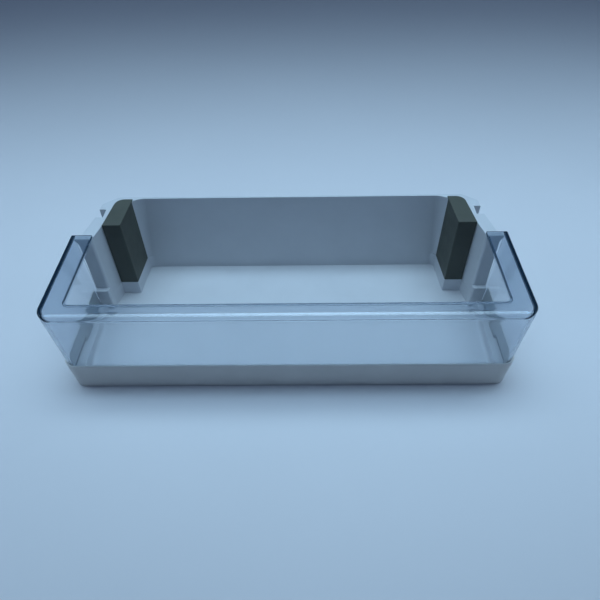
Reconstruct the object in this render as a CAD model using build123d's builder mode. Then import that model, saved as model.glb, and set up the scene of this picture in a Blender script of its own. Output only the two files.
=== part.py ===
from build123d import *
import os

os.makedirs("parts", exist_ok=True)

# Refrigerator door shelf, in millimetres.
# X runs along the width, Y from the front to the door side, Z up from the surface it stands on.
# The origin is under the middle of the shelf. Along Y, the front bay is given from the front of the shelf,
# and what fits the door is set back from its rear. Across, the wings are inset from the sides of the lip.

# Overall size
shelf_width = 442.0  # across the guard's lip
shelf_depth = 185.0  # front of the lip to the back of the rear wall
shelf_height = 106.0  # foot to the top of the lip

# Fits between the mouldings
fit_gap = 0.2  # pieces that slide into each other
free_gap = 0.3  # pieces that only lie beside each other

# Trim band
trim_height = 35.5
trim_wall = 1.5
trim_end_gap = 4.0  # from the band's ends to the tub's flanges
trim_top_inset = 2.0  # from the lip's outline to the band's top edge
trim_foot_inset = 4.3  # from the lip's outline to the band's foot
trim_return_width = 12.5  # flange turned in under the tub
trim_return_thickness = 2.0
trim_foot_radius = 1.6
trim_top_radius = 0.6

# Clear guard
guard_wall = 3.0
guard_corner_radius = 15.0  # plan radius of the front corners at the lip
lip_thickness = 2.8
lip_side_width = 21.5
lip_front_width = 17.9
lip_overlap = 5.0  # how far the lip's rear ends reach over the tub's flanges
lip_window_radius = 6.0  # plan radius of the lip's inner corners
lip_edge_height = 7.0  # upright edge of the lip, above the drafted wall
lip_edge_radius = 1.5
lip_root_radius = 2.0  # under the lip, where it meets the wall
lip_rim_width = 1.6  # rim turned down round the lip's window
lip_rim_drop = 2.0  # how far that rim hangs below the lip
lip_rim_gap = 2.0  # from the rim's ends to the tub's flanges
lip_rim_radius = 0.7
guard_end_radius = 1.0  # round the rear ends of the walls and the lip
guard_rear_lean = 5.5  # how far the side walls' rear edges lean forward over their height
skirt_height = 20.0  # foot to the skirt's lower edge
tab_start = 54.0  # front of the shelf to the tabs that stand on the tub's ledge

# Tub
tub_wall = 2.4
rear_wall = 2.8
floor_thickness = 2.7
floor_cove_radius = 4.0
ledge_height = 15.0
ledge_thickness = 2.4
tray_inset = 14.5  # from the lip's outline to the tray's inner edge at the ledge
tray_draft = 0.8  # how far the tray narrows from the ledge to the floor
tray_corner_radius = 9.0
rear_wall_lean = 4.0  # how far the rear wall leans back over its height
corner_run_top = 15.0  # length of the rear wall's rounded ends at the top
corner_run_floor = 5.0  # and at the floor
top_edge_radius = 0.7

# Side wings of the tub
flange_setback = 74.0  # back of the shelf to the flange that closes the guard's end
flange_step = 6.2  # from the side of the tray's floor in to the flange's inner face
flange_edge_radius = 3.0
foot_edge_radius = 2.0
flange_flare_height = 10.0  # how far below the top the flange starts to spread under the lip
cheek_flat = 4.0  # straight length of the flange's inner face, before the cheek turns in
foot_block_depth = 5.0  # block in front of the flange's foot
foot_block_height = 34.5
wing_outer_inset = 15.0  # outer wall beside the groove
hook_inset = 16.4  # the hooks' outer rear corners
hook_setback = 12.0  # from the back of the rear wall to those corners
hook_radius = 6.0
wing_rear_inset = 32.0  # where the rear corner meets the rear wall's back

# Groove for the door's rib
groove_setback = 35.7  # back of the shelf to the groove's front side
groove_width = 13.5
groove_depth = 8.0
groove_stop_height = 78.0  # underside of the web that rests on the rib
groove_stop_thickness = 2.4

# Posts and their covers
plinth_height = 22.0
post_front_setback = 51.7  # front face of the cover and its plinth
post_rear_setback = 10.0
post_front_inset = 45.5  # inner face of the cover, at its front and its rear
post_rear_inset = 48.3
cheek_front_inset = 26.0  # cheek beside the cover, at its front and its rear
cheek_rear_inset = 31.0
post_edge_radius = 1.0
cover_wall = 2.0
cover_top_thickness = 1.4
cover_top_setback = 5.5  # rear edge of the cover's top, over the tub's rim
cover_corner_radius = 10.0
cover_edge_radius = 0.7

# Values that follow from the sizes above
front = -shelf_depth / 2
rear = shelf_depth / 2
half_width = shelf_width / 2
flange_inner_half = half_width - tray_inset - tray_draft - flange_step
wing_outer_half = half_width - wing_outer_inset
hook_half = half_width - hook_inset
wing_rear_half = half_width - wing_rear_inset
post_inner_front = half_width - post_front_inset
post_inner_rear = half_width - post_rear_inset
cheek_at_post = half_width - cheek_front_inset
cheek_at_rear = half_width - cheek_rear_inset
lip_setback = flange_setback - lip_overlap
trim_setback = flange_setback + trim_end_gap
cheek_bend_setback = flange_setback - cheek_flat
foot_block_setback = flange_setback + foot_block_depth
lip_underside = shelf_height - lip_thickness
lip_edge_foot = shelf_height - lip_edge_height
lip_rim_foot = lip_underside - lip_rim_drop
tub_top = lip_underside - fit_gap
floor_underside = trim_return_thickness
floor_top = floor_underside + floor_thickness
post_recess = cover_wall + fit_gap
cut_margin = 10.0  # how far cutting shapes pass the faces that they open

# Roundings, limited by the walls that they are on
round_limit = 0.95  # greatest share of a wall that is rounded
lip_edge_round = min(lip_edge_radius, round_limit * lip_edge_height)
lip_root_round = min(lip_root_radius, round_limit * (lip_edge_height - lip_thickness))
lip_rim_round = min(lip_rim_radius, round_limit * lip_rim_width / 2)
guard_end_round = min(guard_end_radius, round_limit * guard_wall / 2)
foot_edge_round = min(foot_edge_radius, round_limit * (flange_step - floor_cove_radius))


def at(distance):
    """Y of a place given by its distance from the shelf's front."""
    return front + distance


def back(setback):
    """Y of a place given by how far it is set back from the shelf's rear."""
    return rear - setback


def between(low, high, share):
    """The value at a share of the way from low to high."""
    return low + (high - low) * share


def trim_inset(z):
    """How far the band's outer face lies inside the lip's outline at a height."""
    return between(trim_foot_inset, trim_top_inset, z / trim_height)


def guard_inset(z):
    """How far the guard's outer face lies inside the lip's outline at a height."""
    if z <= trim_height:
        return trim_inset(z) + trim_wall + fit_gap
    share = max(0.0, lip_edge_foot - z) / (lip_edge_foot - trim_height)
    return share * guard_inset(trim_height)


def guard_rear(z):
    """Y of the guard's rear edge at a height."""
    return back(lip_setback) - guard_rear_lean * (shelf_height - z) / shelf_height


def rear_face(z):
    """Y of the back of the rear wall at a height."""
    return rear - rear_wall_lean * (tub_top - z) / tub_top


def bay(inset, rear_end, corner):
    """Plan of the shelf's front: a rectangle inside the lip's outline, its two front corners rounded."""
    length = rear_end - front - inset
    with Locations((0, rear_end - length / 2)):
        Rectangle(shelf_width - 2 * inset, length)
    fillet(vertices().group_by(Axis.Y)[0], corner)


def guard_bay(z, wall=0.0, rear_end=None):
    """The guard's outline at a height, or the one that lies a wall's thickness inside it."""
    inset = guard_inset(z) + wall
    bay(inset, guard_rear(z) if rear_end is None else rear_end, guard_corner_radius - inset)


def trim_bay(z, wall=0.0, rear_end=None):
    """The band's outline at a height, or the one that lies a wall's thickness inside it."""
    inset = trim_inset(z) + wall
    bay(inset, back(trim_setback) if rear_end is None else rear_end, guard_corner_radius - inset)


def window_bay(inset, rear_end):
    """The window in the lip, or the outline a distance outside it, with both front corners rounded."""
    length = rear_end - at(lip_front_width) - inset
    with Locations((0, rear_end - length / 2)):
        Rectangle(shelf_width - 2 * (lip_side_width + inset), length)
    fillet(vertices().group_by(Axis.Y)[0], lip_window_radius - inset)


def tray_bay(z, rear_end, grow=0.0):
    """The tray's inner outline at a height, or the one that lies a wall's thickness outside it."""
    inset = tray_inset + tray_draft * (ledge_height - z) / (ledge_height - floor_top) - grow
    bay(inset, rear_end, tray_corner_radius + grow)


def flange_outer(z):
    """Half width over the flanges at a height: upright above the band, beside the guard's skirt below it."""
    return half_width - guard_inset(min(z, trim_height)) - guard_wall - free_gap


def hook_corner(z):
    """Outer rear corner of the hook at a height."""
    return (hook_half, rear_face(z) - hook_setback)


def block_points(z):
    """Half of the tub's rear outline at a height, from the middle of its front to the middle of its back."""
    return [
        (0, back(flange_setback)),
        (flange_outer(z), back(flange_setback)),
        (wing_outer_half, back(groove_setback)),
        hook_corner(z),
        (wing_rear_half, rear_face(z)),
        (0, rear_face(z)),
    ]


def inside_points(recess):
    """Half of the tub's inner outline, from the middle of its front to the inner rear edge of the post."""
    return [
        (0, back(foot_block_setback) - cut_margin),
        (flange_inner_half, back(foot_block_setback) - cut_margin),
        (flange_inner_half, back(cheek_bend_setback)),
        (cheek_at_post, back(post_front_setback) + recess),
        (post_inner_front + recess, back(post_front_setback) + recess),
        (post_inner_rear + recess, back(post_rear_setback)),
    ]


def column_points():
    """Outline of one wing and its post at the foot, with the groove."""
    groove_floor = wing_outer_half - groove_depth
    groove_end = back(groove_setback - groove_width)
    post_rear = post_inner_rear + post_recess
    return [
        (flange_inner_half, back(flange_setback)),
        (flange_outer(0), back(flange_setback)),
        (wing_outer_half, back(groove_setback)),
        (groove_floor, back(groove_setback)),
        (groove_floor, groove_end),
        (wing_outer_half, groove_end),
        hook_corner(0),
        (wing_rear_half, rear_face(0)),
        (post_rear, rear_face(0)),
        (post_rear, back(post_rear_setback)),
        (post_inner_front + post_recess, back(post_front_setback) + post_recess),
        (cheek_at_post, back(post_front_setback) + post_recess),
        (flange_inner_half, back(cheek_bend_setback)),
    ]


def corner_run(z):
    """Length of the rear wall's rounded end at a height."""
    return between(corner_run_floor, corner_run_top, z / tub_top)


def twin_edges(shape, x, y, z):
    """The edge nearest to a point, and the one nearest to its mirror image across the shelf."""
    return [shape.edges().sort_by_distance((side * x, y, z))[0] for side in (-1, 1)]


# Clear guard: an upright lip edge, a drafted wall and a skirt that goes down behind the band
with BuildPart() as guard:
    levels = (lip_edge_foot, trim_height, ledge_height)
    for upper, lower in zip((shelf_height, *levels), levels):
        with BuildSketch(Plane.XY.offset(upper)):
            guard_bay(upper)
        with BuildSketch(Plane.XY.offset(lower)):
            guard_bay(lower)
        loft(ruled=True)
    fillet(guard.edges().group_by(Axis.Z)[-1].sort_by(Axis.Y)[:-1], lip_edge_round)
    for upper, lower in zip((lip_underside, *levels), levels):
        with BuildSketch(Plane.XY.offset(upper)):
            guard_bay(upper, guard_wall, back(lip_setback) + cut_margin)
        with BuildSketch(Plane.XY.offset(lower)):
            guard_bay(lower, guard_wall, back(lip_setback) + cut_margin)
        loft(ruled=True, mode=Mode.SUBTRACT)
    ceiling = guard.faces().sort_by_distance((0, 0, lip_underside))[0]
    fillet(ceiling.edges().sort_by(Axis.Y)[:-1], lip_root_round)
    # The lip's window, with its rim turned down
    window_half = half_width - lip_side_width
    rim_end = back(flange_setback + lip_rim_gap)
    with BuildSketch(Plane.XY.offset(lip_rim_foot)):
        window_bay(-lip_rim_width, rim_end)
    extrude(amount=lip_rim_drop)
    with BuildSketch(Plane.XY.offset(lip_rim_foot)):
        window_bay(0.0, back(lip_setback) + cut_margin)
    extrude(amount=lip_rim_drop + lip_thickness, mode=Mode.SUBTRACT)
    top_edges = guard.edges().group_by(Axis.Z)[-1].filter_by_position(Axis.X, -window_half, window_half)
    window_edges = top_edges.filter_by_position(Axis.Y, at(lip_front_width) - free_gap, back(lip_setback))
    fillet(window_edges, lip_rim_round)
    rim_middle = at(lip_front_width - lip_rim_width / 2)
    fillet(guard.faces().sort_by_distance((0, rim_middle, lip_rim_foot))[0].edges(), lip_rim_round)
    # The skirt stops short of the ledge, except at the tabs
    with BuildSketch(Plane.XY.offset(ledge_height)):
        with Locations((0, at(tab_start / 2))):
            Rectangle(shelf_width, tab_start)
    extrude(amount=skirt_height - ledge_height, mode=Mode.SUBTRACT)
    # Rear ends of the walls and the lip
    end_level = (lip_edge_foot + trim_height) / 2
    end_middle = half_width - guard_inset(end_level) - guard_wall / 2
    for side in (-1, 1):
        end_point = (side * end_middle, guard_rear(end_level), end_level)
        fillet(guard.faces().sort_by_distance(end_point)[0].edges(), guard_end_round)
guard.part.label = "guard"
export_step(guard.part, "parts/guard.step")

# Trim band: drafted, open to the rear, with a flange turned in under the tub
with BuildPart() as trim_band:
    with BuildSketch(Plane.XY.offset(trim_height)):
        trim_bay(trim_height)
    with BuildSketch(Plane.XY):
        trim_bay(0)
    loft(ruled=True)
    fillet(trim_band.edges().group_by(Axis.Z)[0].sort_by(Axis.Y)[:-1], trim_foot_radius)
    fillet(trim_band.edges().group_by(Axis.Z)[-1].sort_by(Axis.Y)[:-1], trim_top_radius)
    with BuildSketch(Plane.XY.offset(trim_height)):
        trim_bay(trim_height, trim_wall, back(trim_setback) + cut_margin)
    with BuildSketch(Plane.XY.offset(trim_return_thickness)):
        trim_bay(trim_return_thickness, trim_wall, back(trim_setback) + cut_margin)
    loft(ruled=True, mode=Mode.SUBTRACT)
    with BuildSketch(Plane.XY):
        bay(trim_foot_inset + trim_return_width, back(trim_setback) + cut_margin, tray_corner_radius)
    extrude(amount=trim_return_thickness, mode=Mode.SUBTRACT)
trim_band.part.label = "trim_band"
export_step(trim_band.part, "parts/trim_band.step")

# Tub: a tray with a ledge round it, a rear wall, and two hollow wings with a post each
with BuildPart() as tub:
    # Low wall of the tray, with the ledge that the guard's tabs stand on
    tray_rear = back(flange_setback) + tub_wall
    with BuildSketch(Plane.XY.offset(ledge_height)):
        tray_bay(ledge_height, tray_rear, tub_wall)
    with BuildSketch(Plane.XY.offset(floor_underside)):
        tray_bay(floor_underside, tray_rear, tub_wall)
    loft(ruled=True)
    ledge_inset = trim_inset(ledge_height - ledge_thickness) + trim_wall + free_gap
    with BuildSketch(Plane.XY.offset(ledge_height)):
        bay(ledge_inset, back(trim_setback), guard_corner_radius - ledge_inset)
    extrude(amount=-ledge_thickness)
    # Rear block with both wings
    for upper, lower in ((trim_height, 0.0), (tub_top, trim_height)):
        for level in (upper, lower):
            with BuildSketch(Plane.XY.offset(level)):
                with BuildLine():
                    Polyline(*block_points(level))
                    mirror(about=Plane.YZ)
                make_face()
        loft(ruled=True)
    upright_edges = tub.edges().filter_by_position(Axis.Z, free_gap, tub_top - free_gap)
    fillet(upright_edges.filter_by_position(Axis.Y, back(groove_setback - groove_width), rear), hook_radius)
    # Blocks at the flanges' feet
    for level in (foot_block_height, floor_underside):
        with BuildSketch(Plane.XY.offset(level)):
            with Locations((0, back((foot_block_setback + flange_setback) / 2))):
                Rectangle(2 * flange_outer(level), foot_block_setback - flange_setback)
    loft(ruled=True)
    # Tray's inside
    for level in (ledge_height, floor_top):
        with BuildSketch(Plane.XY.offset(level)):
            tray_bay(level, back(foot_block_setback))
    loft(ruled=True, mode=Mode.SUBTRACT)
    # Space between the wings: up to the plinths' tops, then set back for the covers
    for upper, lower, recess in ((plinth_height, floor_top, 0.0), (tub_top, plinth_height, post_recess)):
        for level in (upper, lower):
            inner_rear = rear_face(level) - rear_wall
            straight_end = post_inner_rear + recess - corner_run(level)
            with BuildSketch(Plane.XY.offset(level)):
                with BuildLine():
                    inner_half = Polyline(*inside_points(recess))
                    TangentArc((straight_end, inner_rear), inner_half @ 1, tangent=(1, 0))
                    Line((straight_end, inner_rear), (0, inner_rear))
                    mirror(about=Plane.YZ)
                make_face()
        loft(ruled=True, mode=Mode.SUBTRACT)
    # Cove round the tray's floor, and the cheeks' rounded front edges
    floor_face = tub.faces().sort_by_distance((0, 0, floor_top))[0]
    fillet(floor_face.outer_wire().edges().filter_by(
        lambda edge: edge.center().Y < back(foot_block_setback) - free_gap), floor_cove_radius)
    flange_middle = (foot_block_height + tub_top) / 2
    block_middle = (ledge_height + foot_block_height) / 2
    fillet(twin_edges(tub, flange_inner_half, back(flange_setback), flange_middle), flange_edge_radius)
    fillet(twin_edges(tub, flange_inner_half, back(foot_block_setback), block_middle), foot_edge_round)
    # Flanges spread out under the ends of the lip, with their corners cut off under its root
    flare_half = half_width - guard_wall - free_gap
    flare_foot = (flange_outer(tub_top), tub_top - flange_flare_height)
    flare_inner = flange_outer(tub_top) - tub_wall
    with BuildSketch(Plane.XZ.offset(-back(flange_setback))):
        with BuildLine():
            flare_curve = TangentArc(flare_foot, (flare_half, tub_top - lip_root_round), tangent=(0, 1))
            Polyline(flare_curve @ 1, (flare_half - lip_root_round, tub_top), (flare_inner, tub_top),
                     (flare_inner, tub_top - flange_flare_height), flare_foot)
        make_face()
        mirror(about=Plane.YZ)
    extrude(amount=-lip_overlap)
    # Grooves for the door's ribs, with the web that rests on each rib
    groove_floor = wing_outer_half - groove_depth
    stop_top = groove_stop_height + groove_stop_thickness
    for foot, height in ((0.0, groove_stop_height), (stop_top, tub_top - stop_top)):
        with BuildSketch(Plane.XY.offset(foot)):
            with Locations((groove_floor + groove_depth, back(groove_setback - groove_width / 2))):
                Rectangle(2 * groove_depth, groove_width)
            mirror(about=Plane.YZ)
        extrude(amount=height, mode=Mode.SUBTRACT)
    # Wings and posts are hollow, open below
    with BuildSketch(Plane.XY):
        with BuildLine():
            Polyline(*column_points(), close=True)
        make_face()
        offset(amount=-tub_wall, kind=Kind.INTERSECTION, mode=Mode.REPLACE)
        mirror(about=Plane.YZ)
    extrude(amount=tub_top - tub_wall, mode=Mode.SUBTRACT)
    # Underside of the floor, between the feet of the wings
    with BuildSketch(Plane.XY):
        with BuildLine():
            under_half = Polyline(*inside_points(0.0))
            under_rear = rear_face(0) - rear_wall
            Polyline(under_half @ 1, (post_inner_rear, under_rear), (0, under_rear))
            mirror(about=Plane.YZ)
        make_face()
    extrude(amount=floor_underside, mode=Mode.SUBTRACT)
    # Rounded rims, and the plinths' corners
    fillet(tub.edges().group_by(Axis.Z)[-1], top_edge_radius)
    plinth_middle = (floor_top + plinth_height) / 2
    fillet(twin_edges(tub, post_inner_front, back(post_front_setback), plinth_middle), post_edge_radius)
tub.part.label = "tub"
export_step(tub.part, "parts/tub.step")

# Covers over the posts: a top plate with a front and an inner wall
with BuildPart() as right_post_cover:
    cover_foot = plinth_height + fit_gap
    wall_front = back(post_front_setback)
    wall_end = back(post_rear_setback) - fit_gap
    with BuildSketch(Plane.XY.offset(cover_foot)):
        with BuildLine():
            Polyline(
                (post_inner_front, wall_front),
                (cheek_at_post - fit_gap, wall_front),
                (cheek_at_post - fit_gap, wall_front + cover_wall),
                (post_inner_front + cover_wall, wall_front + cover_wall),
                (post_inner_rear + cover_wall, wall_end),
                (post_inner_rear, wall_end),
                close=True,
            )
        make_face()
    extrude(amount=tub_top - cover_foot)
    with BuildSketch(Plane.XY.offset(tub_top)) as cover_plan:
        with BuildLine():
            Polyline(
                (post_inner_front, wall_front),
                (cheek_at_post, wall_front),
                (cheek_at_rear, back(cover_top_setback)),
                (post_inner_rear, back(cover_top_setback)),
                (post_inner_rear, wall_end),
                close=True,
            )
        make_face()
        fillet(cover_plan.vertices().group_by(Axis.Y)[-1].sort_by(Axis.X)[-1], cover_corner_radius)
    extrude(amount=cover_top_thickness)
    upright_edges = right_post_cover.edges().filter_by(Axis.Z)
    fillet(upright_edges.sort_by_distance((post_inner_front, wall_front))[0], post_edge_radius)
    fillet(right_post_cover.edges().group_by(Axis.Z)[-1], cover_edge_radius)
right_post_cover.part.label = "right_post_cover"
export_step(right_post_cover.part, "parts/right_post_cover.step")

with BuildPart() as left_post_cover:
    mirror(right_post_cover.part, about=Plane.YZ)
left_post_cover.part.label = "left_post_cover"
export_step(left_post_cover.part, "parts/left_post_cover.step")
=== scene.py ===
"""Refrigerator door shelf: looks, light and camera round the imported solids. Metres, in the solids' frame."""
import math

import bmesh
import bpy
import numpy as np
from mathutils import Matrix, Vector


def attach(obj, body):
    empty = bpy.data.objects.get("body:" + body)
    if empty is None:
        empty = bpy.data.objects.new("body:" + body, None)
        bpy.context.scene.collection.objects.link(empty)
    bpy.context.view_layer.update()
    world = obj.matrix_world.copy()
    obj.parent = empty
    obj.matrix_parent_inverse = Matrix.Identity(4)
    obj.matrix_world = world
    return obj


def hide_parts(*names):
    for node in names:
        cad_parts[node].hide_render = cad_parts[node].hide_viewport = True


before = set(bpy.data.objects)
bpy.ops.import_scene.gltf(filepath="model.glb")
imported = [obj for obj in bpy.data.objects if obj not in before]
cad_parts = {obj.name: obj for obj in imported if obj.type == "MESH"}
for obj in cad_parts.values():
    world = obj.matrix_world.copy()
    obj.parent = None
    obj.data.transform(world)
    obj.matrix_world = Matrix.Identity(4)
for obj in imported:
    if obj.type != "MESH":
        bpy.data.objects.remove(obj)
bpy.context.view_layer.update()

MM = 0.001

# Sizes of the clear guard, as in the part's source
HALF_WIDTH = 221.0 * MM
FRONT = -92.5 * MM
SHELF_HEIGHT = 106.0 * MM
LIP_UNDERSIDE = 103.2 * MM
LIP_SIDE = 21.5 * MM
LIP_FRONT = 17.9 * MM
LIP_REAR = 23.5 * MM
LIP_EDGE_FOOT = 99.0 * MM
LIP_END_RADIUS = 1.0 * MM
RIM_END = 16.5 * MM
WINDOW_RADIUS = 6.0 * MM
CORNER_RADIUS = 15.0 * MM
GUARD_WALL = 3.0 * MM
REAR_LEAN = 5.5 * MM
TRIM_HEIGHT = 35.5 * MM
TRIM_TOP_INSET = 3.7 * MM
TRIM_FOOT_INSET = 6.0 * MM
SKIRT_HEIGHT = 20.0 * MM
TAB_FOOT = 15.0 * MM
TAB_START = FRONT + 54.0 * MM
FOOT_ROUND = 0.4 * MM

# Roundings of the guard's section on the sides and on the front
SIDE_EDGE = (1.5 * MM, 1.5 * MM)  # run and drop of the lip's outer edge
FRONT_EDGE = (9.0 * MM, 5.0 * MM)
SIDE_ROOT = (2.0 * MM, 2.0 * MM)  # run and drop of the root under the lip
FRONT_ROOT = (6.0 * MM, 2.7 * MM)
SIDE_RIM = (1.9 * MM, 1.8 * MM, 0.8 * MM)  # width, drop and top rounding of the rim round the window
FRONT_RIM = (1.2 * MM, 1.3 * MM, 0.4 * MM)
RIM_TOE_SHARE = 0.48  # rounding of the rim's foot, as a share of its width
CORNER_HOLD = 0.4  # share of a corner's turn that keeps the sides' section
FOOT_CORNER = ((1.0, 0.0), (0.6, 0.0), (0.18, 0.18), (0.0, 0.6), (0.0, 1.0))  # a foot's corner, in and up
FOOT_END_SHRINK = 0.8 * FOOT_ROUND

# Spacing of the guard's grid
LIP_END_REACH = 3.0 * MM  # from the window's edge to the end of the rows that round it
FLAT_MARGIN = 0.15 * MM  # from a rounded edge to the first row of the flat beside it
STEP_RUN = 0.06 * MM  # half the length over which a tab or the rim's end steps up
SIDE_POINTS, CORNER_POINTS, FRONT_POINTS = 24, 17, 49  # along the path
WALL_POINTS, EDGE_POINTS, ROOT_POINTS = 7, 25, 17  # along the section
CROWN_POINTS, TOE_POINTS, END_POINTS = 7, 9, 7
SIDE_CLOSE, FRONT_CLOSE, WALL_CLOSE = 0.003, 0.001, 0.005  # close step beside a bend, as a share of the run
SHORTEST_SIDE = 1e-7  # a section's side below this has no direction
LEAST_DIVISOR = 1e-12
WELD = 2e-6  # points closer than this are made one


# Materials

NOISE_LOW, NOISE_HIGH = 0.3, 0.7  # most of a noise lies between these
GLOSS_SPREAD = 0.05
WAVE_DEPTH = 0.4 * MM


def material(name):
    """A new node material with its shader and its object coordinates."""
    made = bpy.data.materials.new(name)
    made.use_nodes = True
    nodes = made.node_tree.nodes
    place = nodes.new("ShaderNodeTexCoord")
    return made, nodes, made.node_tree.links, nodes["Principled BSDF"], place.outputs["Object"]


def noise(nodes, links, place, scale, detail, roughness=0.55):
    """Fractal noise over the piece, scale in features per metre."""
    grain = nodes.new("ShaderNodeTexNoise")
    links.new(place, grain.inputs["Vector"])
    grain.inputs["Scale"].default_value = scale
    grain.inputs["Detail"].default_value = detail
    grain.inputs["Roughness"].default_value = roughness
    return grain.outputs["Fac"]


def spread(nodes, links, value, low, high):
    """Carries a noise's useful range to the range from low to high."""
    ramp = nodes.new("ShaderNodeMapRange")
    links.new(value, ramp.inputs["Value"])
    ramp.inputs["From Min"].default_value = NOISE_LOW
    ramp.inputs["From Max"].default_value = NOISE_HIGH
    ramp.inputs["To Min"].default_value = low
    ramp.inputs["To Max"].default_value = high
    return ramp.outputs["Result"]


def two_tone(nodes, links, value, dark, light):
    """A colour between two tones, chosen by a noise."""
    mix = nodes.new("ShaderNodeMix")
    mix.data_type = "RGBA"
    links.new(spread(nodes, links, value, 0.0, 1.0), mix.inputs["Factor"])
    mix.inputs["A"].default_value = (*dark, 1.0)
    mix.inputs["B"].default_value = (*light, 1.0)
    return mix.outputs["Result"]


def relief(nodes, links, shader, layers):
    """Chains bumps, each a height pattern with a strength and a depth in metres, into the shader's normal."""
    normal = None
    for height, strength, depth in layers:
        bump = nodes.new("ShaderNodeBump")
        bump.inputs["Strength"].default_value = strength
        bump.inputs["Distance"].default_value = depth
        links.new(height, bump.inputs["Height"])
        if normal is not None:
            links.new(normal, bump.inputs["Normal"])
        normal = bump.outputs["Normal"]
    links.new(normal, shader.inputs["Normal"])


def moulded_plastic(name, dark, light, rough, grain_depth, specular=0.5):
    """Opaque moulded plastic: a soft mottle in colour and gloss, a fine grain and a faint waviness."""
    made, nodes, links, shader, place = material(name)
    mottle = noise(nodes, links, place, scale=26.0, detail=5.0)
    gloss = noise(nodes, links, place, scale=90.0, detail=3.0)
    grain = noise(nodes, links, place, scale=2600.0, detail=2.0)
    wave = noise(nodes, links, place, scale=34.0, detail=1.0)
    sheen = spread(nodes, links, gloss, rough - GLOSS_SPREAD, rough + GLOSS_SPREAD)
    links.new(two_tone(nodes, links, mottle, dark, light), shader.inputs["Base Color"])
    links.new(sheen, shader.inputs["Roughness"])
    shader.inputs["IOR"].default_value = 1.5
    shader.inputs["Specular IOR Level"].default_value = specular
    relief(nodes, links, shader, [(wave, 0.25, WAVE_DEPTH), (grain, 0.35, grain_depth)])
    return made


def clear_plastic(name):
    """Clear moulded plastic: a tint through its thickness, a faint haze, upright flow waves and light scuffs.

    Light that casts its shadow goes through with a small loss, so the floor under it stays bright.
    """
    made, nodes, links, shader, place = material(name)
    shader.inputs["Base Color"].default_value = (0.97, 0.985, 1.0, 1.0)
    shader.inputs["Transmission Weight"].default_value = 1.0
    shader.inputs["IOR"].default_value = 1.57
    scuff = noise(nodes, links, place, scale=70.0, detail=3.0, roughness=0.5)
    upright = nodes.new("ShaderNodeMapping")
    upright.inputs["Scale"].default_value = (1.0, 1.0, 0.12)
    links.new(place, upright.inputs["Vector"])
    wave = noise(nodes, links, upright.outputs["Vector"], scale=30.0, detail=1.0)
    links.new(spread(nodes, links, scuff, 0.05, 0.08), shader.inputs["Roughness"])
    relief(nodes, links, shader, [(wave, 0.015, WAVE_DEPTH)])
    absorb = nodes.new("ShaderNodeVolumeAbsorption")
    absorb.inputs["Color"].default_value = (0.03, 0.16, 0.30, 1.0)
    absorb.inputs["Density"].default_value = 58.0
    haze = nodes.new("ShaderNodeBsdfDiffuse")
    haze.inputs["Color"].default_value = (0.02, 0.5, 1.0, 1.0)
    hazy = nodes.new("ShaderNodeMixShader")
    hazy.inputs["Fac"].default_value = 0.018
    links.new(shader.outputs["BSDF"], hazy.inputs[1])
    links.new(haze.outputs["BSDF"], hazy.inputs[2])
    path = nodes.new("ShaderNodeLightPath")
    pass_light = nodes.new("ShaderNodeBsdfTransparent")
    pass_light.inputs["Color"].default_value = (0.945, 0.955, 0.965, 1.0)
    mix = nodes.new("ShaderNodeMixShader")
    links.new(path.outputs["Is Shadow Ray"], mix.inputs["Fac"])
    links.new(hazy.outputs["Shader"], mix.inputs[1])
    links.new(pass_light.outputs["BSDF"], mix.inputs[2])
    output = nodes["Material Output"]
    links.new(mix.outputs["Shader"], output.inputs["Surface"])
    links.new(absorb.outputs["Volume"], output.inputs["Volume"])
    return made


def table_top(name):
    """Pale satin table: an even tone with a faint mottle."""
    made, nodes, links, shader, place = material(name)
    mottle = noise(nodes, links, place, scale=3.0, detail=4.0)
    tone = two_tone(nodes, links, mottle, (0.69, 0.69, 0.72), (0.71, 0.71, 0.74))
    links.new(tone, shader.inputs["Base Color"])
    shader.inputs["Roughness"].default_value = 0.6
    return made


white = moulded_plastic("white_moulding", (0.575, 0.59, 0.62), (0.605, 0.62, 0.65), 0.42, 0.04 * MM)
grey = moulded_plastic("grey_trim", (0.60, 0.58, 0.55), (0.64, 0.62, 0.59), 0.40, 0.04 * MM)
taupe = moulded_plastic("taupe_cover", (0.076, 0.081, 0.068), (0.09, 0.096, 0.08), 0.55, 0.06 * MM, 0.25)
clear = clear_plastic("clear_guard")
finishes = {"tub": white, "trim_band": grey, "left_post_cover": taupe, "right_post_cover": taupe}
for node, finish in finishes.items():
    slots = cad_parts[node].data.materials
    slots.clear()
    slots.append(finish)


# Meshes

def end_faces(ring, points, foot, tip):
    """Triangles that fill an end ring: its two chains from foot to tip, zipped along the shorter diagonals."""
    count = len(ring)
    up = [(foot + k) % count for k in range((tip - foot) % count + 1)]
    back = [(foot - 1 - k) % count for k in range((foot - 1 - tip) % count)]
    faces = []
    while len(up) > 1 or len(back) > 1:
        ahead = np.linalg.norm(points[up[1]] - points[back[0]]) if len(up) > 1 else np.inf
        behind = np.linalg.norm(points[back[1]] - points[up[0]]) if len(back) > 1 else np.inf
        if ahead < behind:
            faces.append([ring[up[0]], ring[up[1]], ring[back[0]]])
            up = up[1:]
        else:
            faces.append([ring[up[0]], ring[back[1]], ring[back[0]]])
            back = back[1:]
    return faces


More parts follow.
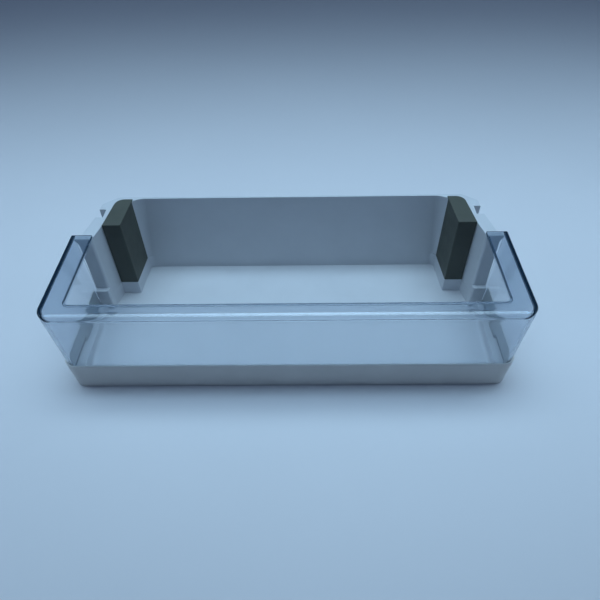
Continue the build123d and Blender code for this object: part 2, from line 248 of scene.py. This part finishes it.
def grid_piece(name, grid, close_rows, ends=None):
    """A mesh from a grid of points: quads between neighbours, with points that meet made one.

    It can be joined round the rows, and given the rows of a section's foot and tip, it closes both ends too.
    """
    rows, samples = grid.shape[:2]
    index = np.arange(rows * samples).reshape(rows, samples)
    wrap = np.roll(index, -1, axis=0) if close_rows else index[1:]
    base = index if close_rows else index[:-1]
    quads = np.stack([base[:, :-1], base[:, 1:], wrap[:, 1:], wrap[:, :-1]], axis=2).reshape(-1, 4)
    faces = quads.tolist()
    if ends:
        faces += end_faces(index[:, 0].tolist(), grid[:, 0], *ends)
        faces += [face[::-1] for face in end_faces(index[:, -1].tolist(), grid[:, -1], *ends)]
    mesh = bpy.data.meshes.new(name)
    mesh.from_pydata(grid.reshape(-1, 3).tolist(), [], faces)
    joined = bmesh.new()
    joined.from_mesh(mesh)
    bmesh.ops.remove_doubles(joined, verts=joined.verts, dist=WELD)
    joined.to_mesh(mesh)
    joined.free()
    mesh.update()
    piece = bpy.data.objects.new(name, mesh)
    bpy.context.scene.collection.objects.link(piece)
    return piece


def smooth(piece, degrees):
    """Smooth shading with creases where faces meet at more than an angle."""
    piece.data.polygons.foreach_set("use_smooth", np.ones(len(piece.data.polygons), bool))
    piece.data.set_sharp_from_angle(angle=math.radians(degrees))


# Clear guard

def arc(start_degrees, end_degrees, count):
    """Unit circle points from one angle to another, both ends included."""
    angle = np.radians(np.linspace(start_degrees, end_degrees, count))
    return np.stack([np.cos(angle), np.sin(angle)], axis=1)


def skirt_inset(height):
    """Inset of the skirt's outer face: a straight line from the foot of the band to its top."""
    return TRIM_FOOT_INSET + (TRIM_TOP_INSET - TRIM_FOOT_INSET) * height / TRIM_HEIGHT


def rear_end(height):
    """Where the guard's straight sides end at a height, short of the rounding. The end leans forward below."""
    return LIP_REAR - LIP_END_RADIUS - REAR_LEAN * (SHELF_HEIGHT - height) / SHELF_HEIGHT


def bay_path(side, front, radius, rear):
    """Plan of a U: down the left side, round a quarter circle, along the front, round another and back.

    Takes arrays of insets, radii and rear ends, one for each row, and gives arrays of x and y, row by sample.
    The straight runs have a close step beside each corner, and steps where a tab or the rim ends.
    """
    along = np.append(np.linspace(0, 1, SIDE_POINTS)[:-1], [1 - SIDE_CLOSE, 1.0])
    turn = arc(180, 270, CORNER_POINTS)
    half = HALF_WIDTH - side[:, None]
    nose = FRONT + front[:, None]
    radius = radius[:, None]
    rear = rear[:, None]
    start = nose + radius
    length = rear - start
    ends = [(rear - y + way * STEP_RUN) / length for y in (RIM_END, TAB_START) for way in (-1, 1)]
    even = np.broadcast_to(along, (len(side), len(along)))
    share = np.sort(np.concatenate([even, *ends], axis=1), axis=1)
    left_x = np.broadcast_to(-half, share.shape)
    left_y = rear + (start - rear) * share
    turn_x = -half + radius + radius * turn[None, 1:, 0]
    turn_y = nose + radius + radius * turn[None, 1:, 1]
    close = 1 - FRONT_CLOSE
    middle = np.concatenate([[-close], np.linspace(-1, 1, FRONT_POINTS)[1:-1], [close]])[None]
    front_x = (half - radius) * middle
    front_y = np.broadcast_to(nose, front_x.shape)
    x = np.concatenate([left_x, turn_x, front_x, -turn_x[:, ::-1], -left_x[:, ::-1]], axis=1)
    y = np.concatenate([left_y, turn_y, front_y, turn_y[:, ::-1], left_y[:, ::-1]], axis=1)
    return x, y


def guard_profile(edge, root, rim):
    """The guard's section as rows of (inset at the sides, inset at the front, plan radius, height).

    It starts level with the band's top, goes up the outer face, round a quarter ellipse and across the lip,
    down the window's side, round the foot of the turned-down rim and up behind it, back along the lip's
    underside, round the root, and down the inner face to the band's top again. The insets are measured from
    the lip's outline. The window's rows round its own corner, and the others round the outline's.
    """
    run, fall = edge
    root_run, root_fall = root
    width, drop, crown_radius = rim
    steps = np.append(np.linspace(0, 1, WALL_POINTS)[1:-1], [1 - WALL_CLOSE, 1.0])
    wall_rise = LIP_EDGE_FOOT - TRIM_HEIGHT
    top = SHELF_HEIGHT - fall
    outer = [(TRIM_TOP_INSET * (1 - s), TRIM_HEIGHT + wall_rise * s) for s in np.append(0.0, steps)]
    outer += [(0.0, LIP_EDGE_FOOT + FLAT_MARGIN), (0.0, top - FLAT_MARGIN)]
    outer += [(run * (1 + c), top + fall * s) for c, s in arc(180, 90, EDGE_POINTS)]
    outer += [(run + FLAT_MARGIN, SHELF_HEIGHT)]

    toe = RIM_TOE_SHARE * width
    crown, sole = SHELF_HEIGHT - crown_radius, LIP_UNDERSIDE - drop + toe
    window = [(-crown_radius - FLAT_MARGIN, SHELF_HEIGHT)]
    window += [(crown_radius * (c - 1), crown + crown_radius * s) for c, s in arc(90, 0, CROWN_POINTS)]
    window += [(0.0, crown - FLAT_MARGIN), (0.0, sole + FLAT_MARGIN)]
    window += [(toe * (c - 1), sole + toe * s) for c, s in arc(0, -90, TOE_POINTS)]
    window += [(toe * (c + 1) - width, sole + toe * s) for c, s in arc(-90, -180, TOE_POINTS)]
    window += [(-width, LIP_UNDERSIDE - FLAT_MARGIN), (-width - FLAT_MARGIN, LIP_UNDERSIDE)]
    window += [(-width - 2 * FLAT_MARGIN, LIP_UNDERSIDE)]

    root_foot = LIP_UNDERSIDE - root_fall
    inner = [(GUARD_WALL + root_run + FLAT_MARGIN, LIP_UNDERSIDE)]
    inner += [(GUARD_WALL + root_run * (1 + c), root_foot + root_fall * s)
              for c, s in arc(90, 180, ROOT_POINTS)]
    inner += [(GUARD_WALL, root_foot - FLAT_MARGIN), (GUARD_WALL, LIP_EDGE_FOOT + FLAT_MARGIN)]
    inner += [(GUARD_WALL + TRIM_TOP_INSET * s, LIP_EDGE_FOOT - wall_rise * s)
              for s in np.append([0.0, WALL_CLOSE], steps)]

    rows = [(inset, inset, CORNER_RADIUS - inset, z) for inset, z in outer]
    rows += [(LIP_SIDE + inward, LIP_FRONT + inward, WINDOW_RADIUS - inward, z) for inward, z in window]
    rows += [(inset, inset, CORNER_RADIUS - inset, z) for inset, z in inner]
    return np.array(rows)


def section_points(edge, root, rim):
    """Points of a section carried round the path, row by sample, with the rim left out behind its end."""
    rows = guard_profile(edge, root, rim)
    x, y = bay_path(rows[:, 0], rows[:, 1], rows[:, 2], rear_end(rows[:, 3]))
    z = np.broadcast_to(rows[:, 3:4], x.shape)
    in_rim = (rows[:, 0] > LIP_SIDE - rim[0] - FLAT_MARGIN)[:, None] & (y > RIM_END)
    return np.stack([x, y, np.where(in_rim, np.maximum(z, LIP_UNDERSIDE), z)], axis=2)


def foot_points():
    """Points of the foot, row by sample: round the inner corner, across the edge and round the outer corner.

    The foot lies at the skirt's edge, and behind the tabs' start at the tabs' edge, which is lower. There it
    is moved in as well, because the skirt's face leans inward below.
    """
    inner = [(GUARD_WALL - FOOT_ROUND * d, FOOT_ROUND * r) for d, r in FOOT_CORNER[::-1]]
    outer = [(FOOT_ROUND * d, FOOT_ROUND * r) for d, r in FOOT_CORNER]
    wall, lift = np.array(inner + outer).T
    level = SKIRT_HEIGHT + lift
    inset = skirt_inset(level) + wall
    x, y = bay_path(inset, inset, CORNER_RADIUS - inset, rear_end(level))
    behind = y > TAB_START
    z = np.where(behind, TAB_FOOT, SKIRT_HEIGHT) + lift[:, None]
    shift = skirt_inset(z) - skirt_inset(level)[:, None]
    return np.stack([x - np.sign(x) * np.where(behind, shift, 0.0), y, z], axis=2)


def front_share():
    """Share of the front's section along the path: none on the sides, all on the front.

    In a corner it is a smooth step of the turn, which starts after the hold.
    """
    still = np.zeros(1)
    end = still + rear_end(SHELF_HEIGHT)
    x0, y0 = bay_path(still, still, still + CORNER_RADIUS, end)
    x1, y1 = bay_path(still + MM, still + MM, still + CORNER_RADIUS - MM, end)
    turn = np.arctan2(np.maximum(y1 - y0, 0.0), np.abs(x1 - x0))[0] / (math.pi / 2)
    late = np.clip((turn - CORNER_HOLD) / (1 - CORNER_HOLD), 0.0, 1.0)
    return late ** 2 * (3 - 2 * late)


def inward_normals(section):
    """Unit steps into a closed section at its corners: the mean of the neighbouring sides' inward normals.

    A side without length, where two corners meet, takes the sum of the normals beside it.
    """
    following = np.roll(section, -1, axis=0)
    side = following - section
    length = np.linalg.norm(side, axis=1, keepdims=True)
    has_length = length > SHORTEST_SIDE
    side = np.where(has_length, side / np.maximum(length, SHORTEST_SIDE), 0.0)
    turn = np.sign(np.sum(section[:, 0] * following[:, 1] - section[:, 1] * following[:, 0]))
    normal = turn * np.stack([-side[:, 1], side[:, 0]], axis=1)
    beside = np.roll(normal, 1, axis=0) + np.roll(normal, -1, axis=0)
    normal = np.where(has_length, normal, beside)
    mean = normal + np.roll(normal, 1, axis=0)
    return mean / np.maximum(np.linalg.norm(mean, axis=1, keepdims=True), LEAST_DIVISOR)


def round_end(column, limit):
    """Rings that round an end of the guard along a quarter circle: each is moved back and shrunk inward.

    It is moved by the angle's sine and shrunk by one less its cosine, times the radius, up to a limit for
    each row. The rows at the window's edge stay within the shrunk lip, so that no ring crosses itself there.
    """
    normal = inward_normals(column[:, [0, 2]])
    angle = np.radians(np.linspace(0, 90, END_POINTS))[1:, None]
    shrink = np.minimum(LIP_END_RADIUS * (1 - np.cos(angle)), limit[None, :])
    x = column[:, 0] + normal[:, 0] * shrink
    z = column[:, 2] + normal[:, 1] * shrink
    edge = np.abs(column[:, 0]).min()
    x = np.sign(x) * np.maximum(np.abs(x), edge + shrink)
    near_edge = np.abs(column[:, 0]) < edge + LIP_END_REACH
    at_window = near_edge & (column[:, 2] > LIP_UNDERSIDE - FLAT_MARGIN)
    z = np.where(at_window, np.clip(z, LIP_UNDERSIDE + shrink, SHELF_HEIGHT - shrink), z)
    y = column[:, 1] + LIP_END_RADIUS * np.sin(angle)
    return np.stack([x, y, z], axis=2)


def guard_grid():
    """The guard's surface as a grid of points, section row by path sample, with both ends rounded.

    The upper rows go over from the sides' section to the front's round the corners. The foot's rows come last.
    """
    side = section_points(SIDE_EDGE, SIDE_ROOT, SIDE_RIM)
    front = section_points(FRONT_EDGE, FRONT_ROOT, FRONT_RIM)
    upper = side + (front - side) * front_share()[None, :, None]
    grid = np.concatenate([upper, foot_points()], axis=0)
    limit = np.full(len(grid), LIP_END_RADIUS)
    limit[len(upper):] = FOOT_END_SHRINK
    left = round_end(grid[:, 0], limit)[::-1].transpose(1, 0, 2)
    right = round_end(grid[:, -1], limit).transpose(1, 0, 2)
    return np.concatenate([left, grid, right], axis=1)


shell = guard_grid()
outer_foot = len(shell) - len(FOOT_CORNER)
lip_tip = int(np.argmin(np.abs(shell[:, 0, 0])))
guard = grid_piece("guard_shell", shell, True, (outer_foot, lip_tip))
smooth(guard, degrees=28)
guard.data.materials.append(clear)
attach(guard, "root")
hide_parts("guard")


# Floor, light and camera

FLOOR_RADIUS = 4.0
FLOOR_RINGS, FLOOR_SPOKES = 24, 97
LAMP_COLOUR = (0.55, 0.80, 1.0)
ROOM_COLOUR = (0.40, 0.60, 1.0, 1.0)
ROOM_STRENGTH = 0.165

# Camera fitted to the photograph, angles in radians: below level, about the upright, about the line of sight
CAMERA_PLACE = (0.019689, -0.404554, 0.451736)
CAMERA_PITCH, CAMERA_TURN, CAMERA_ROLL = 0.80313, -0.021527, -0.023201
CAMERA_LENS = 32.4


def floor_sheet():
    """A flat disc of floor, in rings whose radii grow evenly."""
    radius = np.linspace(0.0, FLOOR_RADIUS, FLOOR_RINGS)[:, None]
    angle = np.linspace(0, 2 * math.pi, FLOOR_SPOKES)[None, :]
    return np.stack([radius * np.cos(angle), radius * np.sin(angle), 0.0 * radius * angle], axis=2)


def softbox(name, place, aim, size, fan, power):
    """A rectangular lamp that looks from a place to an aim, its light kept within a fan of degrees."""
    lamp = bpy.data.lights.new(name, "AREA")
    lamp.shape = "RECTANGLE"
    lamp.size, lamp.size_y = size
    lamp.energy = power
    lamp.color = LAMP_COLOUR
    lamp.spread = math.radians(fan)
    holder = bpy.data.objects.new(name, lamp)
    holder.location = place
    holder.rotation_euler = (Vector(aim) - Vector(place)).to_track_quat("-Z", "Y").to_euler()
    holder.visible_camera = False
    holder.visible_transmission = False
    bpy.context.scene.collection.objects.link(holder)


def photo_camera():
    """Camera at the fitted place: its line of sight from pitch and turn, then rolled about that line."""
    level = math.cos(CAMERA_PITCH)
    ahead = Vector((math.sin(CAMERA_TURN) * level, math.cos(CAMERA_TURN) * level, -math.sin(CAMERA_PITCH)))
    right = Vector((math.cos(CAMERA_TURN), -math.sin(CAMERA_TURN), 0.0))
    up = right.cross(ahead)
    right_rolled = math.cos(CAMERA_ROLL) * right + math.sin(CAMERA_ROLL) * up
    up_rolled = -math.sin(CAMERA_ROLL) * right + math.cos(CAMERA_ROLL) * up
    data = bpy.data.cameras.new("photo_camera")
    data.sensor_fit = "HORIZONTAL"
    data.sensor_width = 36.0
    data.lens = CAMERA_LENS
    data.clip_start = 0.01
    view = bpy.data.objects.new("photo_camera", data)
    facing = Matrix((right_rolled, up_rolled, -ahead)).transposed().to_4x4()
    view.matrix_world = Matrix.Translation(CAMERA_PLACE) @ facing
    bpy.context.scene.collection.objects.link(view)
    bpy.context.scene.camera = view


floor = grid_piece("floor", floor_sheet(), False)
floor.data.materials.append(table_top("table_top"))
smooth(floor, degrees=60)

softbox("overhead", place=(0.034, 0.10, 1.2), aim=(0.034, 0.10, 0.0), size=(1.7, 0.5), fan=90, power=3.5)
softbox("strip", place=(0.034, 0.28, 1.2), aim=(0.034, 0.05, 0.0), size=(1.7, 0.30), fan=80, power=1.15)
for side in (-1, 1):
    softbox("side", place=(1.1 * side, 0.12, 0.6), aim=(0.0, 0.05, 0.05), size=(0.7, 0.7), fan=170, power=1.6)

world = bpy.data.worlds.new("room")
world.use_nodes = True
bpy.context.scene.world = world
world.node_tree.nodes["Background"].inputs["Color"].default_value = ROOM_COLOUR
world.node_tree.nodes["Background"].inputs["Strength"].default_value = ROOM_STRENGTH

photo_camera()
bpy.context.scene.view_settings.view_transform = "Standard"
